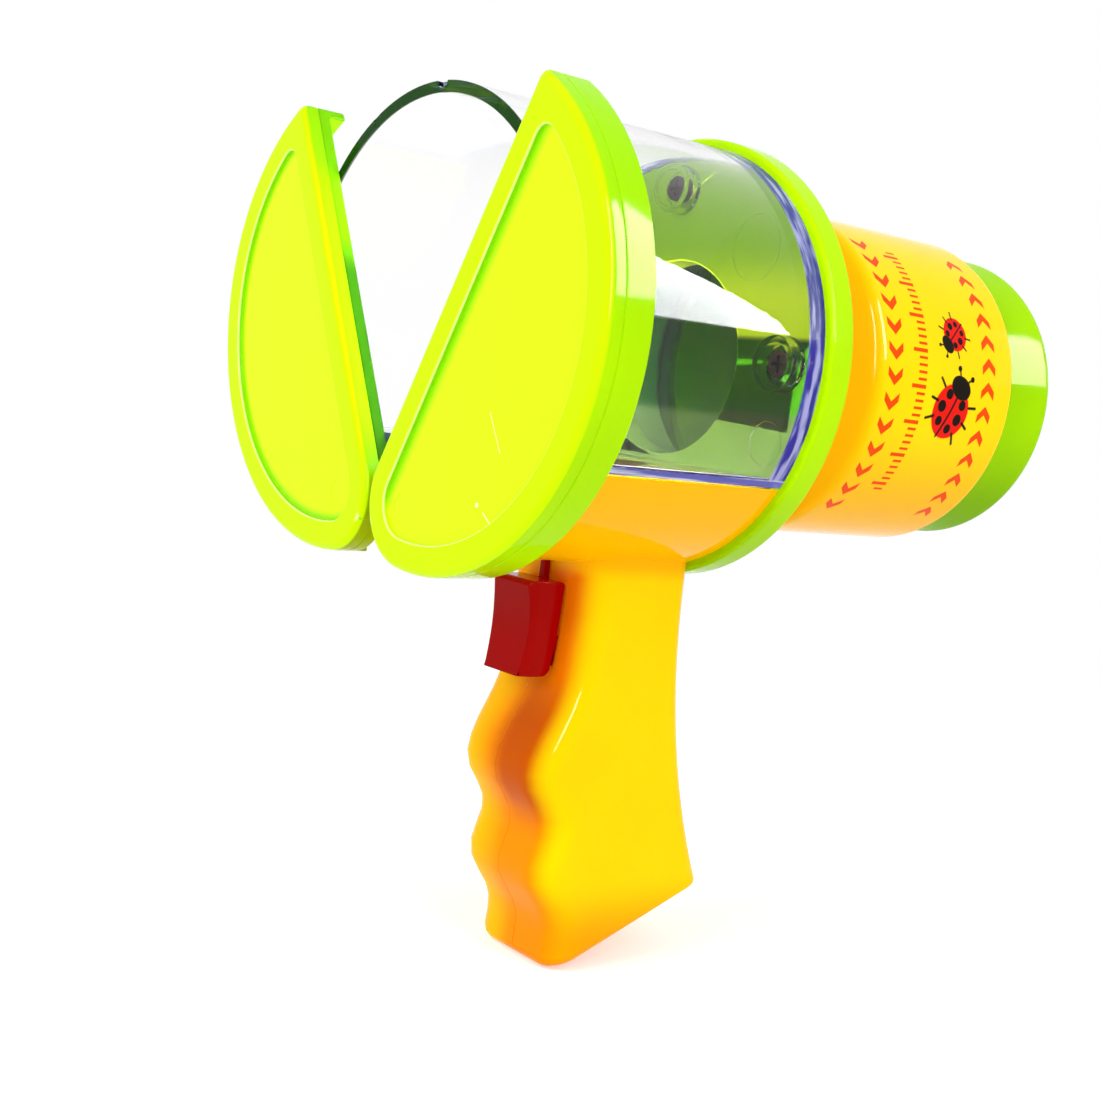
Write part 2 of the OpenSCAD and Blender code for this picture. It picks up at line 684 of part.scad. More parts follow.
module half_cuts() {
    slot_hw = stem_w / 2 + slide_gap;
    // Bores for the jaw's axle
    rod_y(pivot_x, pivot_z, body_y0 - over, rib_y1 + over, axle_r + run_gap);
    // Slot for the stem in the body's underside
    box(-over, slot_hw, stem_y - travel - stem_t / 2 - slide_gap, stem_y + stem_t / 2 + slide_gap,
        grip_top_z - over, -body_r + 2 * shell_wall);
    // Slot for the tongue and the pocket for the spring
    box(-over, tongue_hw + slide_gap, grip_y0 - grip_d / 2, spring_y0, tongue_z1 - tongue_h - slide_gap,
        tongue_z1 + slide_gap);
    rod_y(0, spring_z, spring_y0 - over, spring_y1, spring_r + slide_gap);
    rod_y(frame_screw_x, pivot_z, collar_y0 - frame_boss_len + over, collar_y0 + over, screw_r);
}
module body_right() {
    color(amber) difference() {
        union() {
            half_shell();
            half_ribs(post_r);
        }
        half_cuts();
        for (p = concat(body_posts, grip_posts))
            rod_x(p[0], p[1], -over, screw_bite + over, screw_r);
    }
}
module body_left() {
    color(amber) mirror([1, 0, 0]) difference() {
        union() {
            half_shell();
            half_ribs(post_wall_r);
        }
        half_cuts();
        for (p = concat(body_posts, grip_posts)) {
            rod_x(p[0], p[1], -over, body_r, screw_r + seat_gap / 2);
            rod_x(p[0], p[1], screw_head_x, body_r, recess_r);
        }
    }
}
module body_screws() {
    color(steel) for (p = concat(body_posts, grip_posts))
        translate([-screw_head_x, p[0], p[1]]) rotate([0, 90, 0])
            screw(screw_head_x + screw_bite, screw_r, screw_head_r, screw_head_h);
}

// Trigger: a block for the finger, its tongue, its stem and the foot under the slide
trigger_scoop = 1.4;
module trigger() {
    block_z0 = trigger_top_z - trigger_h;
    scoop_r = 2 * trigger_h;
    hw = trigger_w / 2;
    y0 = trigger_y1 - trigger_d;
    color(red) union() {
        difference() {
            intersection() {
                sideways(-hw, hw) polygon(concat(
                    arc(trigger_y1 - trigger_corner / 2, trigger_top_z - trigger_corner / 2,
                        trigger_corner / 2,
                        0, 90, 4),
                    arc(y0 + trigger_corner, trigger_top_z - trigger_corner, trigger_corner, 90, 180, 6),
                    arc(y0 - 0.2 * trigger_d + trigger_corner, block_z0 + trigger_corner, trigger_corner,
                        180, 270, 6),
                    arc(trigger_y1 - 0.15 * trigger_d - trigger_corner, block_z0 + trigger_corner,
                        trigger_corner, 270, 340, 6),
                    [for (i = [8:-1:0]) let (s = (grip_top_z - block_z0 - trigger_corner * (1 + 0.4 * i))
                        / grip_len) [grip_front(s) - trigger_gap, grip_z(s, 0)]]));
                translate([0, 0, block_z0 - over]) linear_extrude(trigger_h + 2 * over)
                    polygon(concat(
                        [[hw, trigger_y1 + over], [-hw, trigger_y1 + over]],
                        arc(-hw + trigger_round_r, y0 - 0.2 * trigger_d + trigger_round_r, trigger_round_r,
                            180, 270, 12),
                        arc(hw - trigger_round_r, y0 - 0.2 * trigger_d + trigger_round_r, trigger_round_r,
                            270, 360, 12)));
            }
            rod_x(y0 - scoop_r + trigger_scoop, trigger_top_z - trigger_h / 2, -trigger_w, trigger_w, scoop_r);
        }
        box(-tongue_hw, tongue_hw, trigger_y1 - over, trigger_y1 + tongue_len,
            tongue_z1 - tongue_h, tongue_z1);
        difference() {
            union() {
                box(-stem_w / 2, stem_w / 2, stem_y - stem_t / 2, stem_y + stem_t / 2, trigger_top_z - over,
                    slide_z0 - foot_t / 2);
                box(-foot_hw, foot_hw, stem_y - foot_hw, stem_y + foot_hw, slide_z0 - foot_t, slide_z0);
            }
            translate([0, stem_y, slide_z0 - foot_t * 0.65]) cylinder(h = foot_t, r = small_screw_r);
        }
    }
}

// Cam slide: a plate with a slanted slot for each crank and a tail over the stem
module cam_slot() {
    swing = crank_r * sin(open_deg / 2);
    wide = ball_r + slide_gap / 2;
    far_x = pivot_x - swing;
    near_x = pivot_x + swing;
    slant = atan2(far_x - near_x, travel);
    reach = norm([far_x - near_x, travel]);
    translate([near_x, crank_y]) circle(wide);
    translate([far_x, crank_y + travel]) circle(wide);
    translate([near_x, crank_y]) rotate(-slant) translate([-wide, 0]) square([2 * wide, reach]);
}
module cam_slide() {
    window_y0 = crank_y + travel / 2;
    color(ivory) translate([0, 0, slide_z0]) difference() {
        linear_extrude(slide_t) difference() {
            union() {
                translate([-slide_hw, slide_y0]) square([2 * slide_hw, slide_y1 - slide_y0]);
                translate([-tail_hw, slide_y0]) square([2 * tail_hw, stem_y + foot_hw + over - slide_y0]);
            }
            cam_slot();
            mirror([1, 0]) cam_slot();
            translate([-tail_hw / 2, window_y0]) square([tail_hw, stem_y - 2 * foot_hw - window_y0]);
        }
        translate([0, stem_y, -over]) cylinder(h = slide_t + 2 * over, r = small_screw_r + run_gap);
        translate([0, stem_y, slide_t - small_head_h + seat_gap]) cylinder(h = over + small_head_h,
            r = small_head_r + seat_gap);
    }
}
module slide_screw() {
    color(steel) translate([0, stem_y, slide_z1 - small_head_h + seat_gap]) rotate([180, 0, 0])
        screw(slide_t - small_head_h + seat_gap + foot_t * 0.6, small_screw_r - run_gap, small_head_r,
            small_head_h);
}

// Return spring: one open helix along Y, pressed short by the tongue
module return_spring() {
    sides = 6;
    steps = 8;
    coil_r = spring_r - spring_wire / 2;
    turns = spring_turns;
    y0 = spring_y0 + spring_wire / 2;
    rise = (spring_y1 - seat_gap - spring_wire / 2 - y0) / turns;
    rings = turns * steps;
    color(steel) skin([for (i = [0:rings]) let (a = 360 * i / steps)
        [for (j = [0:sides - 1]) let (b = 360 * j / sides, r = coil_r + spring_wire / 2 * cos(b))
            [r * sin(a), y0 + rise * i / steps + spring_wire / 2 * sin(b), spring_z + r * cos(a)]]]);
}

jar();
jar_screws();
rear_collar();
frame_screws();
body_right();
body_left();
body_screws();
viewer_barrel();
eyepiece();
lens();
lens_ring();
return_spring();
trigger();
cam_slide();
slide_screw();
jaw_right_cover();
jaw_right_rim();
jaw_right_axle();
jaw_right_crank();
jaw_right_screw();
jaw_left_cover();
jaw_left_rim();
jaw_left_axle();
jaw_left_crank();
jaw_left_screw();
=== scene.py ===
# %% [markdown]
# # A hand-held bug catcher and viewer
# Two half-round jaws close a clear jar when the trigger is let go, and a lens
# in the eyepiece looks into it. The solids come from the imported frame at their
# real size. This lesson rounds their corners as a mould would, marks them as
# the mould did, and gives every piece its finish, its print and its light.

# %% Load the frame
import json
import math

import bmesh
import bpy
from mathutils import Matrix, Vector


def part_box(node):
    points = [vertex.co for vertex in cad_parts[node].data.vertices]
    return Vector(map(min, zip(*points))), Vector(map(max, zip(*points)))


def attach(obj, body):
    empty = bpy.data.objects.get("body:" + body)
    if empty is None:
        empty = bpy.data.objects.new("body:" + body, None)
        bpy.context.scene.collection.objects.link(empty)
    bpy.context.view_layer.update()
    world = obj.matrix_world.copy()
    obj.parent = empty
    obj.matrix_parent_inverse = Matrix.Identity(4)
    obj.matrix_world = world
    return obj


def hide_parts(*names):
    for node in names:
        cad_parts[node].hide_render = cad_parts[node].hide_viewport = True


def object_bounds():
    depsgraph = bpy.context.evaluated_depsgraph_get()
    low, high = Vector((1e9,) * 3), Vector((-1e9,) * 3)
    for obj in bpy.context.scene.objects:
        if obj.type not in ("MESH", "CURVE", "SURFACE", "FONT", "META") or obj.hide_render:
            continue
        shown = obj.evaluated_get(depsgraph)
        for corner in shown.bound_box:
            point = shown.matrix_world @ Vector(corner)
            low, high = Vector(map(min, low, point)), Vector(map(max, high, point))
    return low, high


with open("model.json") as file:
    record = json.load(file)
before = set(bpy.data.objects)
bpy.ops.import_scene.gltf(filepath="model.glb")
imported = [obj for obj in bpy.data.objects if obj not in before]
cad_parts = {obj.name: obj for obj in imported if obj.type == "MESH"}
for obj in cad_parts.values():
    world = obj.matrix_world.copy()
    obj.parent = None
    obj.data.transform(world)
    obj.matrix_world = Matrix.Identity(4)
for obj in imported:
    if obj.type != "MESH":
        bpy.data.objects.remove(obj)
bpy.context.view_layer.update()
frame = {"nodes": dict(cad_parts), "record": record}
MM = 0.001

# %% [markdown]
# ## Shader sums in Python
# A moulded finish is mostly small sums of masks. They could be wired by hand,
# one Math node at a time. A class that wraps a socket and takes + - * / keeps
# each finish readable, and one method makes every other kind of node.


# %% A socket that takes part in sums
class Sum:
    """A value socket; an expression on it adds its Math nodes."""

    def __init__(self, finish, socket):
        self.finish = finish
        self.socket = socket

    def _math(self, operation, *values):
        return self.finish.node("ShaderNodeMath", {"operation": operation}, dict(enumerate(values)))

    def __add__(self, other):
        return self._math("ADD", self, other)

    def __radd__(self, other):
        return self._math("ADD", other, self)

    def __sub__(self, other):
        return self._math("SUBTRACT", self, other)

    def __rsub__(self, other):
        return self._math("SUBTRACT", other, self)

    def __mul__(self, other):
        return self._math("MULTIPLY", self, other)

    def __rmul__(self, other):
        return self._math("MULTIPLY", other, self)

    def __truediv__(self, other):
        return self._math("DIVIDE", self, other)

    def __rtruediv__(self, other):
        return self._math("DIVIDE", other, self)

    def __abs__(self):
        return self._math("ABSOLUTE", self)

    def __lt__(self, other):
        return self._math("LESS_THAN", self, other)

    def __gt__(self, other):
        return self._math("GREATER_THAN", self, other)

    def root(self):
        return self._math("SQRT", self)

    def part(self):
        return self._math("FRACT", self)

    def least(self, other):
        return self._math("MINIMUM", self, other)

    def most(self, other):
        return self._math("MAXIMUM", self, other)

    def turn_from(self, other):
        return self._math("ARCTAN2", self, other)

    def soft(self, low, high):
        """0 below low, 1 above high, smooth between; high may be the lower one."""
        settings = {"interpolation_type": "SMOOTHSTEP"}
        return self.finish.node("ShaderNodeMapRange", settings,
                                {"Value": self, "From Min": low, "From Max": high})


class Finish:
    """A material whose nodes are added one by one."""

    def __init__(self, name):
        self.material = bpy.data.materials.new(name)
        self.material.use_nodes = True
        self.tree = self.material.node_tree
        self.tree.nodes.clear()
        self.place = self.node("ShaderNodeTexCoord", want="Object")

    def node(self, kind, settings=None, links=None, want=0):
        made = self.tree.nodes.new(kind)
        for name, value in (settings or {}).items():
            setattr(made, name, value)
        for name, value in (links or {}).items():
            if isinstance(value, Sum):
                self.tree.links.new(value.socket, made.inputs[name])
            else:
                made.inputs[name].default_value = value
        return Sum(self, made.outputs[want]) if len(made.outputs) else made

    def blend(self, share, low, high):
        """A colour that goes from low to high as share goes from 0 to 1."""
        made = self.tree.nodes.new("ShaderNodeMix")
        made.data_type = "RGBA"
        for slot_at, value in ((0, share), (6, low), (7, high)):
            if isinstance(value, Sum):
                self.tree.links.new(value.socket, made.inputs[slot_at])
            else:
                made.inputs[slot_at].default_value = value
        return Sum(self, made.outputs[2])

    def noise(self, size_mm, detail=2.0, stretch=(1.0, 1.0, 1.0)):
        """Soft noise whose lumps are about size_mm across."""
        scaled = self.node("ShaderNodeMapping", {"vector_type": "POINT"},
                           {"Vector": self.place, "Scale": stretch})
        return self.node("ShaderNodeTexNoise", {"noise_dimensions": "3D"},
                         {"Vector": scaled, "Scale": 1 / (size_mm * MM), "Detail": detail})

    def apart(self):
        """The place on the object in mm, as three values."""
        split = self.tree.nodes.new("ShaderNodeSeparateXYZ")
        self.tree.links.new(self.place.socket, split.inputs[0])
        return [Sum(self, out) / MM for out in split.outputs]

    def bump(self, height, depth_mm):
        return self.node("ShaderNodeBump", None,
                         {"Height": height, "Strength": 1.0, "Distance": depth_mm * MM})

    def shell(self, **sockets):
        """The Principled shader; names use _ for a space."""
        names = {name.replace("_", " "): value for name, value in sockets.items()}
        return self.node("ShaderNodeBsdfPrincipled", None, names)

    def close(self, surface):
        out = self.tree.nodes.new("ShaderNodeOutputMaterial")
        self.tree.links.new(surface.socket, out.inputs["Surface"])
        return self.material


def ink(red, green, blue):
    """A colour as it shows on a screen, 0 to 255, for a shader."""
    parts = [c / 255 for c in (red, green, blue)]
    return tuple(p / 12.92 if p <= 0.04045 else ((p + 0.055) / 1.055) ** 2.4 for p in parts) + (1.0,)


print("finish tools ready")

# %% [markdown]
# ## Moulded plastic
# The jaws, the collar, the barrel and the grip are injection moulded in bright,
# glossy plastic. One flat colour would look painted. Real parts drift a little
# in shade where the melt flowed, their polish is broken by a faint orange peel,
# and handling leaves hairlines. The thin walls also let a little light through,
# which a faint glow in the plastic's own colour stands for. That glow is
# painted light as well, because it lifts the shaded sides. Every coloured plastic
# shares one recipe.

# %% The plastic recipe
FLOW_MM = 26.0
PEEL_MM = 1.6
PEEL_DEPTH_MM = 0.0015
RUB_MM = 5.0
HAIR_MM = 0.5
HAIR_STRETCH = (0.05, 1.0, 0.02)
GLOSS_LEVEL = 0.05
WARM_GLOSS = (1.0, 1.0, 0.6, 1.0)
# painted light: a faint glow in the plastic's own colour that lifts its shade
PAINTED_GLOW = 0.08


def plastic(name, shade, deep, rough=0.08, print_and_painted_light=None):
    """A glossy moulded plastic between two near shades, with an optional print or painted light and
    shade.
    """
    finish = Finish(name)
    flow = finish.noise(FLOW_MM, 1.0)
    colour = finish.blend(flow.soft(0.3, 0.7), shade, deep)
    # the print, or the painted light and shade, is laid over the colour here
    if print_and_painted_light:
        colour = print_and_painted_light(finish, colour)
    rub = finish.noise(RUB_MM, 3.0)
    hair = finish.noise(HAIR_MM, 1.0, HAIR_STRETCH).soft(0.72, 0.8)
    peel = finish.noise(PEEL_MM, 1.0)
    return finish.close(finish.shell(
        Base_Color=colour, Roughness=rub * 0.04 + hair * 0.12 + (rough - 0.02), IOR=1.5,
        Specular_IOR_Level=GLOSS_LEVEL, Specular_Tint=WARM_GLOSS, Emission_Color=colour,
        Emission_Strength=PAINTED_GLOW, Normal=finish.bump(peel, PEEL_DEPTH_MM)))


red = plastic("red_moulding", ink(160, 0, 2), ink(146, 0, 2))
ivory = plastic("ivory_moulding", ink(232, 228, 214), ink(222, 216, 200), rough=0.3)
print("plastics:", red.name, ivory.name)

# %% [markdown]
# ## The jaws' painted light and shade
# Each jaw is a cover on a rim. Its light and shade are painted into the colour:
# the sunk panel is painted palest lime, the front of the border a little deeper,
# and the sides deeper still, darker at the top, the foot and the straight sides.
# The walls of the recess are painted as a soft green line of shade, and the
# border's inner edge carries a painted highlight. Four materials could do it,
# but the cover is one moulding, so one finish works out where it is in the
# frame of its own jaw.

# %% Jaws' painted light and shade
OPEN = math.radians(28.5)
PIVOT_X, PIVOT_Z = 10.0, -32.96
JAW_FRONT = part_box("jaw_right_cover")[0][1] / MM
SCRATCHES = (((33.5, -30.6), (33.6, -30.6), 0.8), ((35.5, -31.7), (37.7, -33.2), 0.22),
             ((34.4, -15.0), (38.4, -21.5), 0.12))
JAW_LIME, JAW_DEEP = ink(180, 236, 0), ink(172, 229, 0)
# painted shade: the jaws' tops and feet are coloured darker, as if less lit
TOP_PAINTED_SHADE, FOOT_PAINTED_SHADE = ink(165, 232, 0), ink(156, 172, 4)
# painted shade on the cover's straight side
COVER_STRAIGHT_PAINTED_SHADE = ink(146, 214, 4)
# painted shade on the rim's straight side, darkest low down where it looks into the jar
RIM_STRAIGHT_PAINTED_SHADE_TOP, RIM_STRAIGHT_PAINTED_SHADE_FOOT = ink(116, 194, 4), ink(50, 112, 10)
# painted light on the border's front and the sunk panel; painted shade on the recess wall
BORDER_PAINTED_LIGHT, PANEL_PAINTED_LIGHT, WALL_PAINTED_SHADE = ink(204, 247, 2), ink(217, 251, 24), ink(118, 214, 0)
# a painted highlight along the border's inner edge; the scratches are wear
BRIM_PAINTED_HIGHLIGHT, SCRATCH_PALE = ink(250, 255, 190), ink(255, 255, 240)
PANEL_DEPTH = (0.9, 0.97)


def stroke(along, across, start, end, width, edge=0.05):
    """A straight stroke with round ends."""
    dx, dy = end[0] - start[0], end[1] - start[1]
    x = along - start[0]
    y = across - start[1]
    share = ((x * dx + y * dy) / (dx * dx + dy * dy)).most(0.0).least(1.0)
    off_x = x - share * dx
    off_y = y - share * dy
    return (off_x * off_x + off_y * off_y).root().soft(width / 2 + edge, width / 2 - edge)


def jaw_place(finish):
    """Where a point is on its jaw, shut: across, up, depth behind the front, radius."""
    x, y, z = finish.apart()
    side = abs(x) - PIVOT_X
    rise = z - PIVOT_Z
    across = side * math.cos(OPEN) - rise * math.sin(OPEN) + PIVOT_X
    up = side * math.sin(OPEN) + rise * math.cos(OPEN) + PIVOT_Z
    return across, up, y - JAW_FRONT, (across * across + up * up).root()


def side_painted_shade(finish, colour, straight):
    """A jaw's sides, in painted shade: darker on the straight side, at the top and at the foot."""
    across, up, depth, out = jaw_place(finish)
    colour = finish.blend(up.soft(16.0, 40.0), colour, TOP_PAINTED_SHADE)
    colour = finish.blend(up.soft(-20.0, -38.0) * 0.85, colour, FOOT_PAINTED_SHADE)
    return finish.blend(across.soft(0.6, 0.3), colour, straight)


def rim_painted_shade(finish, colour):
    """The rim's straight side in painted shade, dark where it looks into the jar and darkest low down.
    """
    x, y, z = finish.apart()
    straight = finish.blend(z.soft(16.0, 8.0), RIM_STRAIGHT_PAINTED_SHADE_TOP, RIM_STRAIGHT_PAINTED_SHADE_FOOT)
    return side_painted_shade(finish, colour, straight)


def cover_painted_light_and_shade(finish, colour):
    """The cover's painted light and shade: a lighter front and panel, shaded sides and recess wall, a
    painted highlight on the border's inner edge; and its scratches, which are wear.
    """
    across, up, depth, out = jaw_place(finish)
    x, y, z = finish.apart()
    inner = out.soft(41.4, 41.0) * across.soft(4.6, 5.0)
    front = (depth.soft(1.3, 0.9) * across.soft(0.15, 0.45)).most(inner)
    panel = inner * depth.soft(*PANEL_DEPTH)
    right_wall = across.soft(8.4, 5.8) * x.soft(0.0, 0.2)
    left_wall = out.soft(38.2, 40.2) * x.soft(0.0, -0.2)
    near_wall = right_wall.most(left_wall) * depth.soft(0.2, 0.5)
    brim = depth.soft(0.02, 0.1) * depth.soft(0.45, 0.3)
    colour = finish.blend(front, side_painted_shade(finish, colour, COVER_STRAIGHT_PAINTED_SHADE), BORDER_PAINTED_LIGHT)
    colour = finish.blend(panel, colour, PANEL_PAINTED_LIGHT)
    colour = finish.blend(inner * near_wall * 0.85, colour, WALL_PAINTED_SHADE)
    colour = finish.blend(inner * brim * 0.45, colour, BRIM_PAINTED_HIGHLIGHT)
    for start, end, width in SCRATCHES:
        mark = stroke(x, z, start, end, width, 0.06) * depth.soft(*PANEL_DEPTH)
        colour = finish.blend(mark * 0.6, colour, SCRATCH_PALE)
    return colour


rim_lime = plastic("rim_lime", JAW_LIME, JAW_DEEP, print_and_painted_light=rim_painted_shade)
cover_lime = plastic("cover_lime", JAW_LIME, JAW_DEEP, print_and_painted_light=cover_painted_light_and_shade)
print("jaw finishes:", rim_lime.name, cover_lime.name)

# %% [markdown]
# ## The collar and the eyepiece
# Through the jar the collar's web is seen in shade, and that shade is painted
# into its colour in bands: mid green at the top, paler lower down, dark green
# across the middle and grey green at the foot. The collar's ring is painted
# darker at its foot. Inside the barrel the painted shade is darker still. The
# eyepiece is painted darker underneath, and where it meets the barrel it has a
# painted dark line of shadow.

# %% Collar and eyepiece
WEB_OUT_R = 41.0
# painted light and shade on the web as seen through the jar, in bands by height
WEB_PAINTED_TOP = ink(182, 224, 20)
WEB_PAINTED_BANDS = ((24.0, 12.0, ink(234, 250, 50)), (5.6, 4.2, ink(50, 116, 2)),
             (-8.5, -10.5, ink(84, 108, 50)))
# painted shade at the collar's foot
COLLAR_FOOT_PAINTED_SHADE = ink(148, 202, 0)
# painted shade inside the barrel
INNER_PAINTED_SHADE_TOP, INNER_PAINTED_SHADE_FOOT = ink(26, 74, 14), ink(92, 118, 66)
# a painted shadow where the eyepiece meets the barrel
MEET_PAINTED_SHADOW = ink(12, 62, 0)
MEET_Y = (-9.8, -10.6)
SHADE_Y = (-14.0, -14.5)
# painted shade under the eyepiece
UNDER_PAINTED_SHADE = ink(112, 168, 0)


def web_painted_shade(finish, colour):
    """The collar's ring with painted shade at its foot, and its web in bands of painted light and
    shade.
    """
    x, y, z = finish.apart()
    web = WEB_PAINTED_TOP
    for top, bottom, shade in WEB_PAINTED_BANDS:
        web = finish.blend(z.soft(top, bottom), web, shade)
    inside = (x * x + z * z).root().soft(WEB_OUT_R + 0.4, WEB_OUT_R)
    colour = finish.blend(z.soft(-18.0, -44.0), colour, COLLAR_FOOT_PAINTED_SHADE)
    return finish.blend(inside, colour, web)


def inner_painted_shade(finish):
    """The shade inside the barrel, grey green at its foot."""
    x, y, z = finish.apart()
    return finish.blend(z.soft(-9.0, -12.0), INNER_PAINTED_SHADE_TOP, INNER_PAINTED_SHADE_FOOT)


def low_shade(finish, colour):
    """The eyepiece's painted shade: darker underneath, a painted shadow line where it meets the barrel,
    and darker inside it.
    """
    x, y, z = finish.apart()
    colour = finish.blend(z.soft(-4.0, -30.0) * 0.8, colour, UNDER_PAINTED_SHADE)
    colour = finish.blend(y.soft(*MEET_Y) * z.soft(12.0, 4.0), colour, MEET_PAINTED_SHADOW)
    return finish.blend(y.soft(*SHADE_Y), colour, inner_painted_shade(finish))


collar_lime = plastic("collar_lime", ink(186, 240, 0), ink(178, 233, 0), print_and_painted_light=web_painted_shade)
eyepiece_lime = plastic("eyepiece_lime", ink(166, 226, 0), ink(158, 218, 0), print_and_painted_light=low_shade)
print("collar finishes:", collar_lime.name, eyepiece_lime.name)

# %% [markdown]
# ## The amber grip
# The grip's flat sides read as clear yellow. Its front, where the fingers lie,
# is painted orange for shade, with a darker band of painted shade down its right
# half, and its foot is painted a little darker. The body round the jar is painted
# a shade deeper than the grip, for the shade under the jar. The real grip is one
# moulding, so the painted shade follows the place and not a second piece.

# %% Amber
BODY_FOOT = (-42.0, -46.0)
# painted shade: the body under the jar is coloured deeper than the grip
BODY_PAINTED_SHADE = ink(255, 188, 0)
# painted shade on the grip's front: orange, with a darker band down its right half
FRONT_PAINTED_SHADE_LEFT, FRONT_PAINTED_SHADE_RIGHT = ink(255, 192, 0), ink(246, 146, 0)
BAND_PAINTED_SHADE_TOP, BAND_PAINTED_SHADE_MIDDLE, BAND_PAINTED_SHADE_LOW = ink(238, 122, 0), ink(196, 84, 0), ink(248, 144, 0)
# painted shade at the grip's foot
GRIP_FOOT_PAINTED_SHADE = ink(242, 152, 0)
GRIP_EDGE = (13.8, 9.0)


def amber_painted_shade(finish, colour):
    """Painted shade: the body deeper under the jar, the grip's foot darker, and the grip's front orange
    with a darker band.
    """
    x, y, z = finish.apart()
    below = z.soft(*BODY_FOOT)
    colour = finish.blend(below, BODY_PAINTED_SHADE, colour)
    colour = finish.blend(z.soft(-106.0, -120.0) * 0.85, colour, GRIP_FOOT_PAINTED_SHADE)
    wave = finish.noise(14.0, 0.0) * 6.0 - 3.0
    front = finish.blend((x + wave).soft(-9.0, 0.0), FRONT_PAINTED_SHADE_LEFT, FRONT_PAINTED_SHADE_RIGHT)
    band = finish.blend(z.soft(-62.0, -76.0), BAND_PAINTED_SHADE_TOP, BAND_PAINTED_SHADE_MIDDLE)
    band = finish.blend(z.soft(-88.0, -100.0), band, BAND_PAINTED_SHADE_LOW)
    front = finish.blend((x + wave).soft(-3.0, 4.0), front, band)
    return finish.blend(x.soft(*GRIP_EDGE) * below, colour, front)


amber = plastic("amber_moulding", ink(255, 216, 0), ink(255, 211, 0), print_and_painted_light=amber_painted_shade)
print("amber nodes:", len(amber.node_tree.nodes))

# %% [markdown]
# ## The print on the barrel
# The barrel carries a pad print: two rows of small arrowheads, a row of
# measuring ticks and two ladybirds. It could be a thin raised piece. Real ink
# is a few hundredths of a millimetre thick, so here it is a set of masks laid
# out in millimetres along the barrel, from the collar, and around it.

# %% Masks for the print
BARREL_R = 34.7
EDGE = 0.05


def disc(along, across, at, radius):
    """A round dot; at is its centre and radius may be a pair for an oval."""
    wide, high = radius if isinstance(radius, tuple) else (radius, radius)
    x = (along - at[0]) / wide
    y = (across - at[1]) / high
    return (x * x + y * y).soft(1.0 + EDGE, 1.0 - EDGE)


ARROW_PITCH = 5.21
ARROW_COUNT = 13
ARROW_HALF = 2.2
ARROW_NOTCH = 1.95


def arrow_row(around, along, centre, first_tip, way):
    """Solid arrowheads with a notched back, one behind the other round the barrel."""
    side = abs(along - centre)
    run = (around - first_tip) * (way / ARROW_PITCH)
    from_tip = run.part() * ARROW_PITCH
    span = (run > 0.0) * (run < float(ARROW_COUNT))
    flank = (from_tip - side * 0.92).soft(-EDGE, EDGE)
    notch = (side * 0.86 + ARROW_NOTCH - from_tip).soft(-EDGE, EDGE)
    return flank * notch * side.soft(ARROW_HALF + EDGE, ARROW_HALF - EDGE) * span


def tick_row(around, along, centre, low, high):
    """A ruler's ticks, every fifth one long."""
    fine = abs((around / 1.5 + 0.5).part() - 0.5) * 1.5
    fifth = abs((around / 7.5 + 0.5).part() - 0.5) * 7.5
    band = (around > low) * (around < high)
    short = fine.soft(0.33, 0.25) * abs(along - centre - 0.9).soft(1.35, 1.3)
    long = fifth.soft(0.45, 0.37) * abs(along - centre).soft(2.3, 2.25)
    return short.most(long) * band


def ladybird(around, along, centre, heading_deg, length):
    """Masks for the ink of one ladybird: its red and its black."""
    turn = math.radians(heading_deg)
    x = (around - centre[0]) * math.cos(turn) + (along - centre[1]) * math.sin(turn)
    y = (along - centre[1]) * math.cos(turn) - (around - centre[0]) * math.sin(turn)
    x = x / length
    y = abs(y / length)
    shell = disc(x, y, (-0.12, 0.0), (0.37, 0.36))
    face = disc(x, y, (0.24, 0.0), (0.15, 0.21))
    seam = stroke(x, y, (-0.5, 0.0), (0.2, 0.0), 0.035, 0.01)
    spots = disc(x, y, (0.06, 0.16), 0.07)
    spots = spots.most(disc(x, y, (-0.14, 0.2), 0.08))
    spots = spots.most(disc(x, y, (-0.32, 0.12), 0.065))
    feelers = stroke(x, y, (0.34, 0.07), (0.44, 0.14), 0.03, 0.01)
    feelers = feelers.most(disc(x, y, (0.45, 0.15), 0.04))
    legs = stroke(x, y, (0.1, 0.3), (0.16, 0.42), 0.04, 0.01)
    legs = legs.most(stroke(x, y, (-0.12, 0.32), (-0.14, 0.45), 0.04, 0.01))
    legs = legs.most(stroke(x, y, (-0.32, 0.26), (-0.42, 0.38), 0.04, 0.01))
    return shell, face.most(seam).most(spots * shell).most(feelers).most(legs)


# %% The print's layout
COLLAR_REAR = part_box("rear_collar")[1][1] / MM
LADYBIRDS = (((11.4, 43.5), 227.0, 10.2), ((-2.6, 44.8), 24.0, 16.0))
PRINT_ORANGE = ink(242, 74, 0)
LADYBIRD_RED = ink(236, 22, 14)
LADYBIRD_BLACK = ink(22, 14, 8)
SHADED_ORANGE = ink(255, 190, 0)
CONE = (13.8, 21.8)
REAR_EDGE = 62.5
THROAT_R = 27.0


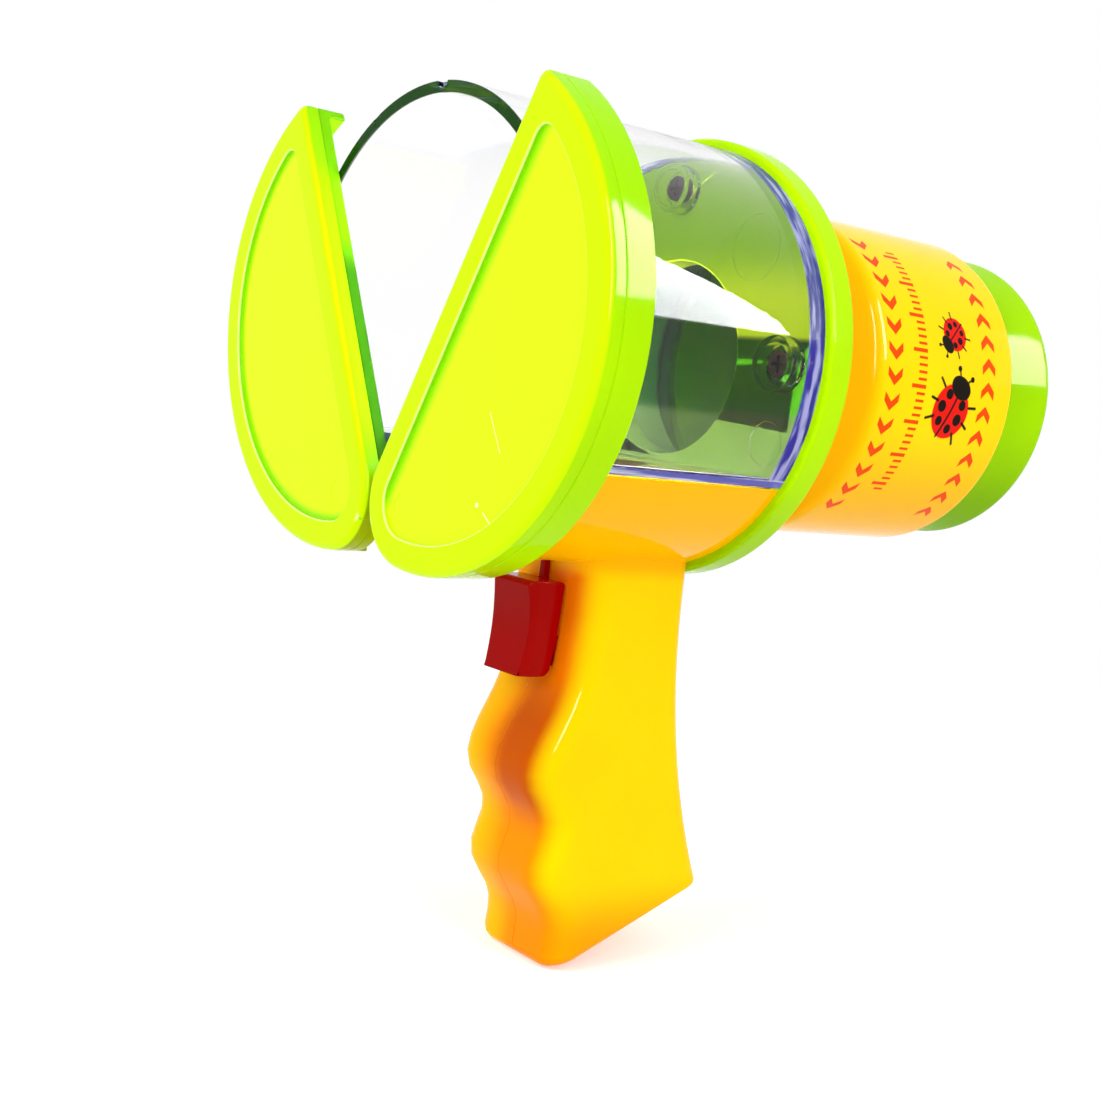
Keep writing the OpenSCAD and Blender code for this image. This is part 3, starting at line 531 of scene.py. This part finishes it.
def barrel_print_and_painted_shade(finish, colour):
    """The barrel's shaded parts, its print and, inside, the shade of its bore."""
    x, y, z = finish.apart()
    out = (x * x + z * z).root()
    around = z.turn_from(x) * BARREL_R
    along = y - COLLAR_REAR
    # painted shade: the barrel's underside and its cone by the collar are coloured orange
    colour = finish.blend(z.soft(-4.0, -28.0), colour, SHADED_ORANGE)
    colour = finish.blend(along.soft(22.5, 18.0) * 0.9, colour, SHADED_ORANGE)
    rows = arrow_row(around, along, 24.7, -31.9, 1)
    rows = rows.most(arrow_row(around, along, 55.4, 34.3, -1))
    rows = rows.most(tick_row(around, along, 32.5, -24.4, 32.5))
    colour = finish.blend(rows, colour, PRINT_ORANGE)
    skin = along.most(CONE[0]).least(CONE[1]) + (BARREL_R - CONE[1])
    bore = (skin - out).soft(0.8, 1.4) * along.soft(REAR_EDGE, REAR_EDGE - 1.0)
    throat = along.soft(1.2, 0.6) * out.soft(THROAT_R + 1.0, THROAT_R)
    colour = finish.blend(bore.most(throat), colour, inner_painted_shade(finish))
    for centre, heading, length in LADYBIRDS:
        shell, black = ladybird(around, along, centre, heading, length)
        colour = finish.blend(shell, colour, LADYBIRD_RED)
        colour = finish.blend(black, colour, LADYBIRD_BLACK)
    return colour


yellow = plastic("yellow_printed_moulding", ink(255, 225, 0), ink(255, 219, 0), print_and_painted_light=barrel_print_and_painted_shade)
print("print nodes:", len(yellow.node_tree.nodes), "collar's rear face at", round(COLLAR_REAR, 2), "mm")

# %% [markdown]
# ## Clear plastic and metal
# The jar and the lens are clear styrene. It bends light as glass does, but in a
# path tracer such a wall also shades what is inside, so a second shader, used
# only for shadow rays, lets the lamps through. Where the jar ends in a thick
# edge the real one no longer looks clear: light bent and reflected inside its
# rear rim and its foot shows violet, and its lip shows the green collar dark
# along the wall. That light is painted: a tinted shader with violet streaks and
# a dark green lip is mixed in there.

# %% Clear plastic
JAR_LOW, JAR_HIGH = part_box("jar")
END_Y = JAR_HIGH[1] / MM - 4.4
LIP_Y = JAR_LOW[1] / MM
FOOT_Z = JAR_LOW[2] / MM + 1.5
FOOT_HALF = math.sqrt(JAR_HIGH[0] ** 2 - JAR_LOW[2] ** 2) / MM
FOOT_EDGE = 4.0
RIM_R = 41.6
# painted reflection: violet and pale streaks for the light bent inside the jar's thick rim and foot
EDGE_PAINTED_VIOLET, EDGE_PAINTED_PALE = ink(62, 50, 172), ink(184, 182, 246)
FOOT_PAINTED_VIOLET, FOOT_PAINTED_PALE = ink(110, 108, 200), ink(222, 226, 250)
# painted reflection: the green collar seen dark along the wall, shown on the lip
LIP_PAINTED_GREEN = ink(22, 70, 8)
EDGE_SHARE = 0.82
CLEAR_IOR = 1.4
FAINT_GLOSS = (0.06, 0.06, 0.07, 1.0)


def jar_painted_edges(finish):
    """The share and the colour of the jar's thick edges: painted reflection, violet streaks on the rim
    and foot and a dark green lip.
    """
    x, y, z = finish.apart()
    out = (x * x + z * z).root()
    side = abs(x).soft(FOOT_HALF - FOOT_EDGE, FOOT_HALF - FOOT_EDGE + 1.0)
    foot = z.soft(FOOT_Z + 0.3, FOOT_Z - 0.3) * side
    rim = (y.soft(END_Y - 0.3, END_Y + 0.3) * out.soft(RIM_R - 0.3, RIM_R + 0.3)).most(foot)
    lip = y.soft(LIP_Y + 0.5, LIP_Y + 0.2)
    round_streak = finish.noise(3.0, 2.0, (0.3, 2.0, 0.3)).soft(0.44, 0.64)
    long_streak = finish.noise(3.0, 2.0, (1.5, 0.12, 2.5)).soft(0.44, 0.64)
    streak = finish.blend(foot, round_streak, long_streak)
    dark = finish.blend(foot, EDGE_PAINTED_VIOLET, FOOT_PAINTED_VIOLET)
    pale = finish.blend(foot, EDGE_PAINTED_PALE, FOOT_PAINTED_PALE)
    violet = finish.blend(streak, dark, pale)
    return rim.most(lip) * EDGE_SHARE, finish.blend(lip, violet, LIP_PAINTED_GREEN)


def clear_plastic(name, tint, edges=None):
    """A clear moulding that lets the lamps through, with tinted edges if asked."""
    finish = Finish(name)
    swirl = finish.noise(9.0, 2.0)
    surface = finish.shell(
        Base_Color=finish.blend(swirl, tint, ink(255, 255, 255)), Roughness=swirl * 0.01,
        IOR=CLEAR_IOR, Specular_IOR_Level=0.2, Specular_Tint=FAINT_GLOSS,
        Transmission_Weight=1.0, Normal=finish.bump(swirl, 0.02))
    if edges:
        share, colour = edges(finish)
        edge = finish.shell(Base_Color=colour, Roughness=swirl * 0.1 + 0.1, Specular_IOR_Level=0.06)
        surface = finish.node("ShaderNodeMixShader", None, {0: share, 1: surface, 2: edge})
    shadow = finish.node("ShaderNodeLightPath", want="Is Shadow Ray")
    through = finish.node("ShaderNodeBsdfTransparent")
    return finish.close(finish.node("ShaderNodeMixShader", None, {0: shadow, 1: surface, 2: through}))


clear = clear_plastic("clear_styrene", ink(254, 255, 255), jar_painted_edges)
glass = clear_plastic("clear_lens", ink(250, 253, 254))
print("clear:", clear.name, glass.name)


# %% Metal
def steel(name, shade, rough):
    finish = Finish(name)
    grain = finish.noise(0.5, 2.0)
    colour = finish.blend(grain, shade, tuple(c * 0.6 for c in shade[:3]) + (1.0,))
    return finish.close(finish.shell(Base_Color=colour, Metallic=1.0, Roughness=grain * 0.2 + rough,
                                     Normal=finish.bump(grain, 0.01)))


screw_metal = steel("dark_screw_steel", ink(56, 42, 40), 0.3)
spring_metal = steel("spring_steel", ink(200, 200, 205), 0.25)
print("metals:", screw_metal.name, spring_metal.name)

# %% [markdown]
# ## Corners as a mould leaves them
# No moulded piece has a knife edge: a few tenths of a millimetre of rounding
# catch the light, and they draw the fine lines along the jaws and the seam of
# the grip. A shader could fake it, but the edge should be in the mesh. So each
# visible solid is copied, merged, cleared of flat edges and bevelled. The copy
# stands for its solid and moves with the same body.

# %% The rounding
MERGE_M = 1e-7
FLAT_DEG = 0.05
SHARP_DEG = 35.0
SMOOTH_DEG = 40.0
ROUND_STEPS = 3
BODIES = frame["record"]["behaviour"]["bodies"]
BODY_OF = {node: body for body, nodes in BODIES.items() for node in nodes}


def pick(piece):
    bpy.ops.object.select_all(action="DESELECT")
    piece.select_set(True)
    bpy.context.view_layer.objects.active = piece


def shape(piece, kind, **settings):
    """Adds a modifier and applies it."""
    modifier = piece.modifiers.new(kind.lower(), kind)
    for name, value in settings.items():
        setattr(modifier, name, value)
    pick(piece)
    bpy.ops.object.modifier_apply(modifier=modifier.name)


def merged_copy(node):
    """A copy of a solid whose loose triangles are joined and whose flat edges are gone."""
    piece = bpy.data.objects.new(node + "_moulding", frame["nodes"][node].data.copy())
    bpy.context.scene.collection.objects.link(piece)
    pick(piece)
    if piece.data.has_custom_normals:
        bpy.ops.mesh.customdata_custom_splitnormals_clear()
    shape(piece, "WELD", merge_threshold=MERGE_M)
    bpy.ops.object.mode_set(mode="EDIT")
    bpy.ops.mesh.select_all(action="SELECT")
    bpy.ops.mesh.dissolve_limited(angle_limit=math.radians(FLAT_DEG))
    bpy.ops.mesh.select_all(action="DESELECT")
    bpy.ops.object.mode_set(mode="OBJECT")
    return piece


def round_corners(piece, width_mm):
    shape(piece, "BEVEL", width=width_mm * MM, segments=ROUND_STEPS, limit_method="ANGLE",
          angle_limit=math.radians(SHARP_DEG), use_clamp_overlap=False)


def settle(piece, node, finish):
    """Smooths the shading, puts the finish in the piece's material slot, hangs it on its body and hides
    its solid.
    """
    pick(piece)
    bpy.ops.object.shade_smooth_by_angle(angle=math.radians(SMOOTH_DEG))
    shape(piece, "WEIGHTED_NORMAL", keep_sharp=True)
    piece.data.materials.clear()
    piece.data.materials.append(finish)
    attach(piece, BODY_OF[node])
    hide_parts(node)
    print(piece.name, len(piece.data.vertices), "points,", finish.name)


# %% The plain mouldings
MOULDINGS = {
    "rear_collar": (0.25, collar_lime), "eyepiece": (0.2, eyepiece_lime),
    "viewer_barrel": (0.2, yellow), "body_right": (0.2, amber), "body_left": (0.2, amber),
    "trigger": (0.25, red),
    "lens": (0.1, glass), "lens_ring": (0.2, ivory), "cam_slide": (0.2, ivory),
    "jaw_right_rim": (0.3, rim_lime), "jaw_left_rim": (0.3, rim_lime),
}
for node, (width, finish) in MOULDINGS.items():
    moulding = merged_copy(node)
    round_corners(moulding, width)
    settle(moulding, node, finish)

# %% [markdown]
# ## The jaws' covers
# Each cover has a raised border round a sunk panel. The border's inner edge is
# well rounded and the panel runs into it with a fillet, so the recess reads as
# a soft dark line on one side and a bright one on the other. Near the foot an
# ejector pin has left a round mark, cut here with a short cylinder.

# %% Borders and pin marks
LIP_ROUND_MM = 0.5
PANEL_FILLET_MM = 0.4
PANEL_SINK_MM = 1.0
PIN_R = 2.8
PIN_SINK_MM = 0.1
PIN_X, PIN_Z = 11.2, -33.9
NEAR_MM = 0.02


def round_ring(piece, y_mm, width_mm):
    """Rounds the sharp edges that lie in the plane y."""
    pick(piece)
    bpy.ops.object.mode_set(mode="EDIT")
    bpy.ops.mesh.select_mode(type="EDGE")
    mesh = bmesh.from_edit_mesh(piece.data)
    for edge in mesh.edges:
        level = all(abs(v.co.y / MM - y_mm) < NEAR_MM for v in edge.verts)
        edge.select_set(level and edge.calc_face_angle(0.0) > math.radians(SHARP_DEG))
    chosen = sum(edge.select for edge in mesh.edges)
    bmesh.update_edit_mesh(piece.data)
    bpy.ops.mesh.bevel(offset=width_mm * MM, segments=4, affect="EDGES", clamp_overlap=False)
    bpy.ops.object.mode_set(mode="OBJECT")
    return chosen


def sink(piece, x_mm, y_mm, z_mm, radius_mm, depth_mm):
    """Cuts a round mark into a face that looks forward."""
    bpy.ops.object.select_all(action="DESELECT")
    bpy.ops.mesh.primitive_cylinder_add(
        vertices=48, radius=radius_mm * MM, depth=2 * depth_mm * MM, rotation=(math.pi / 2, 0, 0),
        location=(x_mm * MM, y_mm * MM, z_mm * MM))
    cutter = bpy.context.object
    bpy.ops.object.transform_apply(location=True, rotation=True, scale=True)
    shape(piece, "BOOLEAN", operation="DIFFERENCE", object=cutter, solver="EXACT")
    bpy.data.objects.remove(cutter)


for side, hand in (("right", 1), ("left", -1)):
    node = f"jaw_{side}_cover"
    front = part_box(node)[0][1] / MM
    cover = merged_copy(node)
    lip = round_ring(cover, front, LIP_ROUND_MM)
    foot = round_ring(cover, front + PANEL_SINK_MM, PANEL_FILLET_MM)
    round_corners(cover, 0.3)
    sink(cover, hand * PIN_X, front + PANEL_SINK_MM, PIN_Z, PIN_R, PIN_SINK_MM)
    settle(cover, node, cover_lime)
    print("ring edges:", lip, foot)

# %% [markdown]
# ## The jar
# The jar's lip shows two pin marks beside its gate mark. They are cut the same
# way, after the corners are rounded.

# %% Jar
LIP_PIN_X, LIP_PIN_Z, LIP_PIN_R, LIP_PIN_SINK = 20.1, 37.2, 1.25, 0.2
jar = merged_copy("jar")
round_corners(jar, 0.2)
for hand in (1, -1):
    sink(jar, hand * LIP_PIN_X, JAR_LOW[1] / MM, LIP_PIN_Z, LIP_PIN_R, LIP_PIN_SINK)
settle(jar, "jar", clear)

# %% [markdown]
# ## Finishes on the carried-over solids
# Screws, cranks, axles and the spring keep their meshes. Only their material
# changes.

# %% Assign
INNER = {"jar_screws": screw_metal, "frame_screws": screw_metal, "body_screws": screw_metal,
         "slide_screw": screw_metal, "return_spring": spring_metal}
for side in ("right", "left"):
    INNER[f"jaw_{side}_axle"] = spring_metal
    INNER[f"jaw_{side}_crank"] = ivory
    INNER[f"jaw_{side}_screw"] = screw_metal
for name, finish in INNER.items():
    frame["nodes"][name].data.materials.clear()
    frame["nodes"][name].data.materials.append(finish)
print("carried-over solids:", len(INNER))

# %% [markdown]
# ## Floor, light and camera
# The object is photographed against white. The floor is white paper that fades
# into the white room with distance, so no horizon shows, and near the object it
# keeps the shadow.

# %% Floor
low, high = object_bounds()
bpy.ops.object.select_all(action="DESELECT")
bpy.ops.mesh.primitive_plane_add(size=6.0, location=(0, 0, low.z - 0.0005))
floor = bpy.context.object
floor.name = "floor"
FADE_NEAR, FADE_FAR = 250.0, 600.0
GLOW = 0.38


def white_ground(name):
    finish = Finish(name)
    x, y, z = finish.apart()
    seen = finish.node("ShaderNodeLightPath", want="Is Camera Ray")
    mirror = finish.node("ShaderNodeLightPath", want="Is Glossy Ray")
    passed = finish.node("ShaderNodeLightPath", want="Is Transmission Ray")
    speckle = finish.noise(3.0, 2.0)
    paper = finish.node("ShaderNodeBsdfDiffuse", None,
                        {"Color": finish.blend(speckle, ink(250, 250, 250), ink(254, 254, 254))})
    glow = finish.node("ShaderNodeEmission", None, {"Color": (1, 1, 1, 1), "Strength": GLOW})
    white = finish.node("ShaderNodeEmission", None, {"Color": (1, 1, 1, 1), "Strength": 1.0})
    lifted = finish.node("ShaderNodeAddShader", None, {0: paper, 1: glow})
    shown = (seen + mirror + passed).least(1.0)
    near = finish.node("ShaderNodeMixShader", None, {0: shown, 1: paper, 2: lifted})
    away = y + 60.0
    far = (x * x + away * away).root().soft(FADE_NEAR, FADE_FAR)
    return finish.close(finish.node("ShaderNodeMixShader", None, {0: shown * far, 1: near, 2: white}))


floor.data.materials.append(white_ground("white_floor"))
print("floor at", round(low.z / MM, 2), "mm")

# %% World
world = bpy.data.worlds.new("studio")
bpy.context.scene.world = world
world.use_nodes = True
tree = world.node_tree
tree.nodes.clear()
path = tree.nodes.new("ShaderNodeLightPath")


def backdrop(strength):
    made = tree.nodes.new("ShaderNodeBackground")
    made.inputs["Color"].default_value = (1, 1, 1, 1)
    made.inputs["Strength"].default_value = strength
    return made.outputs[0]


def either(first, second):
    made = tree.nodes.new("ShaderNodeMath")
    made.operation = "ADD"
    tree.links.new(first, made.inputs[0])
    tree.links.new(second, made.inputs[1])
    return made.outputs[0]


ROOM_LIGHT = 0.55
seen = either(either(path.outputs["Is Camera Ray"], path.outputs["Is Glossy Ray"]),
              path.outputs["Is Transmission Ray"])
mixed = tree.nodes.new("ShaderNodeMixShader")
tree.links.new(seen, mixed.inputs[0])
tree.links.new(backdrop(ROOM_LIGHT), mixed.inputs[1])
tree.links.new(backdrop(1.0), mixed.inputs[2])
out = tree.nodes.new("ShaderNodeOutputWorld")
tree.links.new(mixed.outputs[0], out.inputs["Surface"])
print("room light", ROOM_LIGHT)

# %% Lamps
AIM = Vector((0.03, -0.118, 0.01))


def softbox(name, azimuth, elevation, distance, size, radiance, roll=0.0, shine="all"):
    """An area lamp that faces the object; it gives light, shine or both."""
    a, e, r = math.radians(azimuth), math.radians(elevation), math.radians(roll)
    back = Vector((math.sin(a) * math.cos(e), -math.cos(a) * math.cos(e), math.sin(e)))
    level = Vector((math.cos(a), math.sin(a), 0))
    rise = back.cross(level)
    side = level * math.cos(r) - rise * math.sin(r)
    rise = level * math.sin(r) + rise * math.cos(r)
    at = AIM + back * distance
    lamp = bpy.data.lights.new(name, "AREA")
    lamp.shape = "RECTANGLE"
    lamp.size, lamp.size_y = size
    lamp.energy = radiance * math.pi * size[0] * size[1]
    held = bpy.data.objects.new(name, lamp)
    bpy.context.scene.collection.objects.link(held)
    held.visible_diffuse = shine != "only"
    held.visible_glossy = shine != "none"
    held.matrix_world = Matrix((
        (side.x, rise.x, back.x, at.x), (side.y, rise.y, back.y, at.y),
        (side.z, rise.z, back.z, at.z), (0, 0, 0, 1)))


softbox("window", 129.5, 27.5, 0.7, (0.22, 0.388), 72.0, shine="only")
softbox("far_pane", 155.9, 16.0, 0.7, (0.010, 0.263), 80.0, roll=29.8, shine="only")
softbox("edge_strip", 64, 25, 0.9, (0.12, 0.7), 110.0, shine="only")
softbox("front", 5, 30, 1.2, (0.9, 0.9), 3.0, shine="none")
softbox("side", 95, 35, 1.2, (0.8, 0.8), 2.6, shine="none")

# %% Camera
YAW, PITCH, ROLL = math.radians(51.39), math.radians(5.2), math.radians(6.69)
TARGET_Y, DISTANCE, ACROSS, RISE = -107.8, 318.45, -6.26, -40.95
FOCAL_PIXELS, FRAME_PIXELS = 1600, 1100
back = Vector((math.sin(YAW) * math.cos(PITCH), -math.cos(YAW) * math.cos(PITCH), math.sin(PITCH)))
level = Vector((math.cos(YAW), math.sin(YAW), 0))
rise = back.cross(level)
right = math.cos(ROLL) * level + math.sin(ROLL) * rise
up = math.cos(ROLL) * rise - math.sin(ROLL) * level
eye = (Vector((0, TARGET_Y, 0)) + back * DISTANCE + right * ACROSS + up * RISE) * MM
lens_data = bpy.data.cameras.new("camera")
lens_data.sensor_width = 36
lens_data.sensor_fit = "HORIZONTAL"
lens_data.lens = lens_data.sensor_width * FOCAL_PIXELS / FRAME_PIXELS
lens_data.clip_start = 0.01
camera = bpy.data.objects.new("camera", lens_data)
bpy.context.scene.collection.objects.link(camera)
camera.matrix_world = Matrix((
    (right.x, up.x, back.x, eye.x), (right.y, up.y, back.y, eye.y),
    (right.z, up.z, back.z, eye.z), (0, 0, 0, 1)))
bpy.context.scene.camera = camera
bpy.context.scene.view_settings.view_transform = "Standard"
print("camera at", [round(c / MM, 1) for c in eye])
